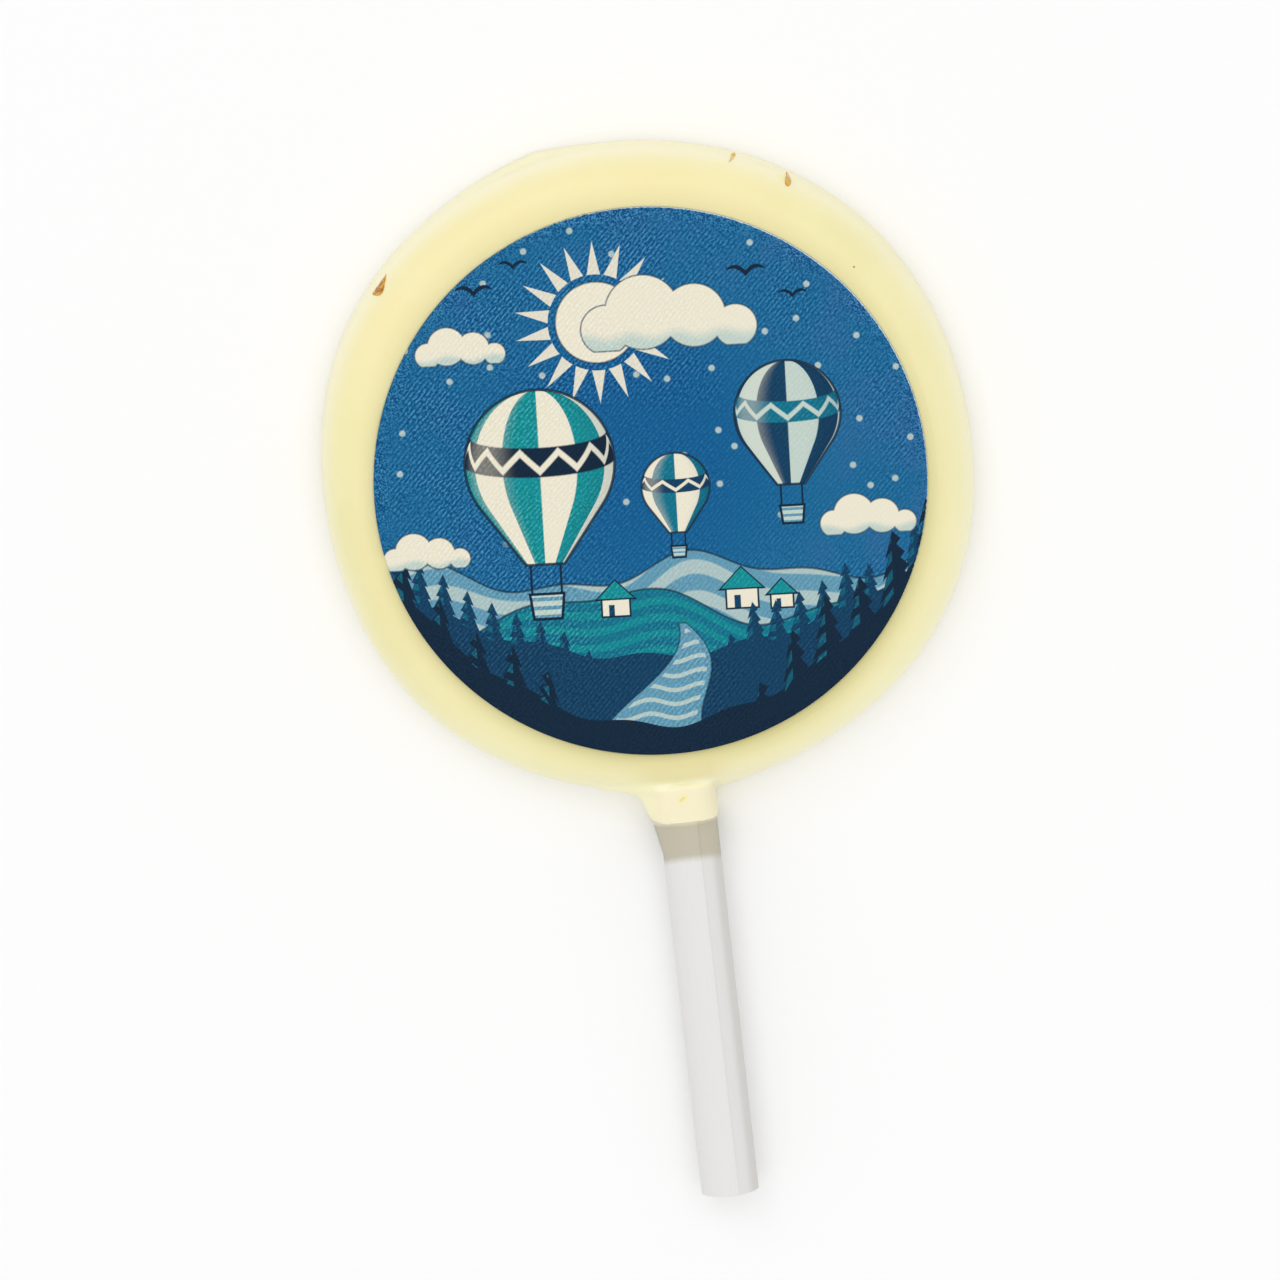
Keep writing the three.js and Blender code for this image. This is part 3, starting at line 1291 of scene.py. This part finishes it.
@dataclass(frozen=True)
class PrintedSheet:
    """Edible paper printed with balloons over hills, finely embossed and satin.

    The motifs are printed one over the other, in their order here.
    """

    turn: float = -3.2
    ground_middle: Place = (-1.0, 3.0, 0.0)
    smooth_middle: Place = (12.0, -2.0, 0.0)
    rib_way: Pair = (0.68, 0.73)
    rib_pitch: float = 0.43
    print_shift: Pair = (-0.1, -0.1)
    print_radius: float = 29.28
    paper: Colour = linear(208, 220, 228)
    # Painted glints: the colour the ribs add to the blue inks.
    shine: Colour = (0.023, 0.072, 0.104)
    darkest: Colour = (0.002, 0.004, 0.006)
    motifs: tuple = (
        Sun(-4.8, 17.3),
        Stars(),
        Bird(-17.5, 21.0, 1.9),
        Bird(-13.2, 23.6, 1.5),
        Bird(11.2, 21.6, 2.0),
        Bird(16.0, 19.0, 1.5),
        Cloud(2.4, 16.2, 1.2),
        Cloud(-19.5, 14.6, 0.62),
        Hill(-9.6, ((0.47, 0.0, 0.7), (0.21, 0.6, 1.5)), Ink.PALE_BLUE, Ink.PALE, 1.9),
        Hill(-13.4, ((0.39, 1.0, 0.8), (0.17, 2.4, 2.0)), Ink.TEAL, Ink.BRIGHT_TEAL, 3.6),
        House(-4.4, -13.2, 1.5),
        House(9.0, -12.9, 1.7),
        House(13.2, -13.4, 1.2),
        Wood(-18.6, 0.011, 5.0, Ink.DEEP, 2.5),
        River(),
        Wood(-26.0, 0.021, 8.0, Ink.NAVY, 3.7),
        Cloud(22.5, -5.6, 0.66),
        Cloud(-24.3, -7.0, 0.6),
        Balloon(-11.6, 2.6, 7.9, 6.0, Ink.CREAM, Ink.BRIGHT_TEAL, Ink.NAVY),
        Balloon(14.8, 6.6, 5.6, 5.0, Ink.PALE, Ink.DEEP, Ink.TEAL, 0.26),
        Balloon(2.6, -0.6, 3.6, 4.0, Ink.CREAM, Ink.TEAL, Ink.DEEP, 0.22),
    )

    def material(self) -> Material:
        """Makes the material of the sheet.

        Returns:
            The material.
        """
        sheet = Sheet(self.turn)
        middle = sheet.spot.away_from(self.ground_middle)
        sheet.paint(Ink.GROUND_DEEP, middle.eased(22, 6))
        drift = sheet.noise(sheet.place, 0.16).eased(0.42, 0.62)
        sheet.paint(Ink.GROUND_EDGE, drift * middle.eased(14, 28) * 0.45)
        for motif in self.motifs:
            motif.draw(sheet)
        relief = self.emboss(sheet)
        ragged = sheet.noise(sheet.place, 3.0) * 0.2
        past_print = sheet.disc(*self.print_shift, self.print_radius) + ragged
        sheet.paint(self.paper, past_print.eased(0.08, 0.16) * 0.95)
        return sheet.finish({
            "Roughness": relief.scaled(-0.14, 0.58),
            "Normal": sheet.bump(relief, 0.04, 0.8),
            "Specular IOR Level": 0.12,
            "IOR": 1.42,
        })

    def emboss(self, sheet: Sheet) -> Value:
        """Presses fine slanting ribs into the paper, broken into dots and weaker in the middle.

        Args:
            sheet: the drawing, whose blue inks take painted glints and painted shade from it.

        Returns:
            The relief, about 0 to 1.
        """
        length, width = sheet.along(self.rib_way), sheet.across(self.rib_way)
        wander = sheet.noise(sheet.place, 0.28)
        lines = width.scaled(TURN / self.rib_pitch, wander * 6.0).sine()
        dashes = sheet.noise(sheet.vector(length * 2.9, width * 5.6), 1.0, 0.0) - 0.5
        dots = sheet.noise(sheet.place, 5.6, 0.0) - 0.5
        patchy = sheet.noise(sheet.place, 0.13, 1.0).eased(0.35, 0.65).scaled(0.65, 0.6)
        strength = sheet.spot.away_from(self.smooth_middle).eased(2, 34).scaled(0.75, 0.3) * patchy
        ribs = lines.scaled(dashes.scaled(0.5, 0.2), dashes * 1.3)
        dotted = (wander.eased(0.55, 0.75) * 0.8).most(sheet.disc(0, 0, 0).eased(26.5, 28.8))
        relief = sheet.between(dotted, ribs, dots * 1.8) * strength
        # Painted glints on the ribs and painted shade in their hollows, strongest on the blue inks.
        blue = sheet.colour.split()[2]
        shine = (relief * 3.2).held(-0.9, 2.2) * blue * blue * (1.0 - blue) ** 3 * 34.0
        glint = sheet.vector(*(shine * level for level in self.shine))
        sheet.colour = sheet.vector_math("MAXIMUM", sheet.colour + glint, self.darkest)
        return relief + 0.5


@dataclass
class PrintedDisc:
    """The sheet itself: a thin disc sunk a little way into the face."""

    finish: PrintedSheet = field(default_factory=PrintedSheet)
    centre_x: float = SHEET_CENTRE[0]
    centre_y: float = SHEET_CENTRE[1]
    radius: float = SHEET_RADIUS
    floor: float = RECESS_FLOOR
    thickness: float = 0.5
    edge_round: float = 0.08
    cockle: float = 0.05
    edge_margin: float = 0.6
    around: int = 360
    edge_rows: int = 4
    top_rows: int = 30

    def build(self) -> Piece:
        """Makes the disc and dresses it.

        Returns:
            The piece.
        """
        recipe = Recipe("sheet_disc", self)
        size = recipe.size
        grid, column, row = recipe.grid(self.around + 1, 3 + self.edge_rows + self.top_rows)
        radius, edge = size("radius"), size("edge_round")
        angle = column * (TURN / self.around)
        corner = (row - 2.0).scaled(1 / self.edge_rows).held() * (math.pi / 2)
        inward = (row - 2.0 - self.edge_rows).scaled(1 / self.top_rows).held()
        reach = radius * row.least(1.0) - edge * (1 - corner.cosine()) - (radius - edge) * inward
        x = size("centre_x") + reach * angle.cosine()
        y = size("centre_y") + reach * angle.sine()
        wave = (x * 310.0).sine() * (y * 270.0 + 1.0).sine() + (x * 130.0 + y * 190.0).sine()
        dip = size("cockle") * wave.scaled(0.25, 0.5) * inward.eased(0, 0.04)
        rise = (size("thickness") - edge) * (row - 1.0).held() + edge * corner.sine()
        z = size("floor") + rise - dip
        disc = recipe.make("printed_sheet", grid, recipe.vector(x, y, z), self.finish.material())
        smooth(disc, 60)
        self.unfold(disc.data)
        return disc

    def unfold(self, mesh: Mesh) -> None:
        """Gives the disc a UV map for baking: top and edge as one large round, the underside small.

        Args:
            mesh: the disc's mesh.
        """
        layer = mesh.uv_layers.new(name="OFBake")
        centre = Vector((self.centre_x, self.centre_y, 0)) * MM
        large, small = 0.485 / (self.radius + self.edge_margin), 0.08 / self.radius
        for face in mesh.polygons:
            for loop in face.loop_indices:
                place = (mesh.vertices[mesh.loops[loop].vertex_index].co - centre) / MM
                if face.normal.z < -0.5:
                    layer.data[loop].uv = place.xy * small + Vector((0.91, 0.91))
                    continue
                on_edge = place.z < self.floor + self.thickness / 2
                spread = 1 + self.edge_margin / self.radius if on_edge else 1
                layer.data[loop].uv = place.xy * spread * large + Vector((0.5, 0.5))


# Stick


@dataclass(frozen=True)
class StickPaper:
    """Smooth white paper, with a beige-grey band next to the collar and painted shade along its right side.
    """

    paper: Colour = linear(228, 227, 225)
    # Partly the under-lap's own tone, partly painted shade.
    under: Colour = linear(224, 223, 221)
    shaded: Colour = linear(212, 210, 206)
    fibre: Colour = linear(214, 212, 208)
    dark_band_tone: Colour = linear(191, 185, 165)
    # Painted shade at the sides of the band.
    painted_band_side_shade: Colour = linear(178, 176, 162)
    lighter_band_top: Colour = linear(236, 229, 205)
    dark_band_end: float = -41.6
    seam: float = 17.0
    shade_from: float = 41.0

    def material(self) -> Material:
        """Makes the material of the stick.

        Returns:
            The material.
        """
        surface = Surface("stick_paper", self.paper)
        x = surface.x - STICK_X
        fibres = surface.noise(surface.place * (3.0, 0.35, 3.0), 1.0, 3.0)
        angle = surface.math("ARCTAN2", x, surface.z - STICK_Z)
        # Past the seam the paper is a touch greyer, partly its own tone and partly painted shade; from
        # about 41 degrees round the right side it is painted in shade.
        for start, before, after, colour in (
            (self.seam, -1.0, 1.5, self.under),
            (self.shade_from, -4.0, 16.0, self.shaded),
        ):
            lap_and_shade = angle.eased(math.radians(start + before), math.radians(start + after))
            surface.paint(colour, lap_and_shade * angle.eased(2.6, 2.0))
        surface.paint(self.fibre, fibres.eased(0.35, 0.75) * 0.1)
        # Painted shade: the band turns greyer towards the stick's sides.
        dark_band_tone = surface.blend(abs(angle).eased(1.0, 1.5), self.dark_band_tone, self.painted_band_side_shade)
        near = surface.y.eased(COLLAR_END - 0.55, COLLAR_END - 0.05)
        dark_band_tone = surface.blend(near * 0.75, dark_band_tone, self.lighter_band_top)
        # A beige-grey band from the collar's end down the stick, lighter right next to the collar, with a
        # soft lower edge.
        line = surface.y + (abs(x) / STICK_RADIUS) ** 3.0 * 0.6 + fibres * 0.2
        dark_band = line.eased(self.dark_band_end - 0.5, self.dark_band_end + 0.6)
        surface.paint(dark_band_tone, dark_band * 0.97)
        return surface.finish({
            "Roughness": fibres.scaled(0.14, 0.5) - dark_band * 0.08,
            "Normal": surface.bump(fibres, 0.02, 0.5),
            "Specular IOR Level": 0.4,
            "IOR": 1.4,
        })


@dataclass
class RolledStick:
    """A stick of tightly rolled paper, cut square at its end and swollen to one side by the collar."""

    centre_x: float = STICK_X
    centre_z: float = STICK_Z
    radius: float = STICK_RADIUS
    layer: float = 0.13
    end: float = -78.8
    swollen_end: float = -37.6
    top: float = STICK_TOP
    swollen: float = 3.9
    swelling: float = 0.8
    groove: float = 0.06
    pitch: float = 0.25
    hollow: float = 0.35
    around: int = 120
    end_rows: int = 90
    free_rows: int = 24
    swollen_rows: int = 20
    held_rows: int = 3
    top_rows: int = 3
    finish: StickPaper = field(default_factory=StickPaper)

    def build(self) -> Piece:
        """Makes the stick by the rule of its winding and dresses it.

        Returns:
            The piece.
        """
        recipe = Recipe("stick_winding", self)
        size = recipe.size
        stretches = (self.end_rows, self.free_rows, self.swollen_rows, self.held_rows)
        starts = np.cumsum(stretches).tolist()
        grid, column, row = recipe.grid(self.around + 2, starts[-1] + self.top_rows + 1)
        free, swell, held, closing = (
            (row - start) * (1 / rows)
            for start, rows in zip(starts, (*stretches[1:], self.top_rows)))
        turned = (column * (1 / self.around)).least(1.0)
        wound = turned * (1 - (column > self.around + 0.5))
        angle = turned.scaled(TURN, math.radians(self.finish.seam))
        outer = size("radius") - size("layer") * (1 - wound)
        reach = outer * ((row * (1 / self.end_rows)).least(1.0) - closing.most(0.0))
        on_end = row < self.end_rows - 0.5
        layers = (reach / size("pitch") - wound).part()
        gap = abs(layers - 0.5).eased(0.32, 0.48) * size("groove")
        core = (reach / size("hollow")).eased(1.15, 0.75) * size("hollow") * 2.5
        swollen_from = size("swollen_end") - size("swollen")
        y = size("end") + (gap + core) * on_end + (swollen_from - size("end")) * free.held()
        y = y + size("swollen") * swell.held() + (size("top") - size("swollen_end")) * held.held()
        x = reach * angle.sine()
        left = (-x).most(0.0) / size("radius")
        x = x - left * size("swelling") * swell.held() * (held < 0.01) + size("centre_x")
        z = size("centre_z") + reach * angle.cosine()
        stick = recipe.make("paper_stick", grid, recipe.vector(x, y, z), self.finish.material())
        smooth(stick, 40)
        return stick


# Studio


@dataclass
class Studio:
    """A pale floor, soft lights and the camera."""

    tilt: float = 9.5
    azimuth: float = 84.0
    roll: float = -6.32
    target: Pair = (-2.82, -18.66)
    distance: float = 900.0
    lens: float = 236.6
    sensor: float = 36.0
    floor_radius: float = 3.0
    floor_colour: Colour = (0.95, 0.95, 0.95)
    sky_strength: float = 0.792

    def build(self) -> None:
        """Sets up the floor, the lights and the camera."""
        self.add_floor()
        self.add_sky()
        self.add_lamp("overhead", (0.0, 0.2, 1.6), 1.8, 8.0)
        self.add_lamp("key", (-0.6, 1.3, 1.5), 0.8, 1.5)
        self.add_camera()

    def add_floor(self) -> None:
        """Lays a round pale floor under the lollipop."""
        shape = bmesh.new()
        bmesh.ops.create_circle(shape, cap_ends=True, segments=64, radius=self.floor_radius)
        mesh = written(shape, bpy.data.meshes.new("floor"))
        mesh.materials.append(Surface("floor_paint", self.floor_colour).finish({"Roughness": 0.9}))
        floor = new_object("floor", mesh)
        floor.location.z = -0.05 * MM

    def add_sky(self) -> None:
        """Fills the room with even white light."""
        world = bpy.data.worlds.new("studio")
        world.use_nodes = True
        tree = Tree(world.node_tree)
        tree.nodes.nodes.clear()
        sockets = {"Color": (1.0, 1.0, 1.0), "Strength": self.sky_strength}
        back = tree.node("ShaderNodeBackground", {}, sockets)
        tree.node("ShaderNodeOutputWorld", {}, {"Surface": back.outputs[0]})
        bpy.context.scene.world = world

    def add_lamp(self, name: str, place: Place, size: float, power: float) -> None:
        """Hangs a square soft lamp that points at the lollipop.

        Args:
            name: the lamp's name.
            place: where it hangs, in metres.
            size: its width, in metres.
            power: its power, in watts.
        """
        light = bpy.data.lights.new(name, "AREA")
        light.size, light.energy = size, power
        lamp = new_object(name, light)
        lamp.location = place
        lamp.rotation_euler = (-Vector(place)).to_track_quat("-Z", "Y").to_euler()

    def add_camera(self) -> None:
        """Sets the camera over the head, tilted a little towards the top and rolled."""
        (high, low), (east, north), (level, lift) = map(way_of, (self.tilt, self.azimuth, self.roll))
        back = Vector((low * east, low * north, high))
        flat = (Vector((1, 0, 0)) - back * back.x).normalized()
        rise = back.cross(flat)
        right, up = flat * level + rise * lift, rise * level - flat * lift
        data = bpy.data.cameras.new("camera")
        data.lens, data.sensor_width = self.lens, self.sensor
        data.clip_start, data.clip_end = 0.05, 20
        camera = new_object("camera", data)
        eye = (Vector((*self.target, 0)) + back * self.distance) * MM
        camera.matrix_world = Matrix.Translation(eye) @ Matrix((right, up, back)).transposed().to_4x4()
        bpy.context.scene.camera = camera
        bpy.context.scene.view_settings.view_transform = "Standard"


def report(piece: Piece) -> None:
    """Logs a piece's size."""
    piece.data.calc_loop_triangles()
    log.info("%s: %d triangles", piece.name, len(piece.data.loop_triangles))


def main() -> None:
    """Builds the lollipop's pieces in order, then the studio."""
    logging.basicConfig(level=logging.INFO, format="%(name)s: %(message)s")
    head = CastHead()
    parts = (
        (head, "chocolate_head", "white_chocolate"),
        (PrintedDisc(), "printed_disc", "printed_sheet"),
        (RolledStick(), "stick", "stick_paper"),
    )
    for part, node, slot in parts:
        piece = part.build()
        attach(piece, BODY)
        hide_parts(node)
        report(piece)
    flecks = Flecks(head).build()
    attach(flecks, BODY)
    report(flecks)
    Studio().build()


if __name__ == "__main__":
    main()
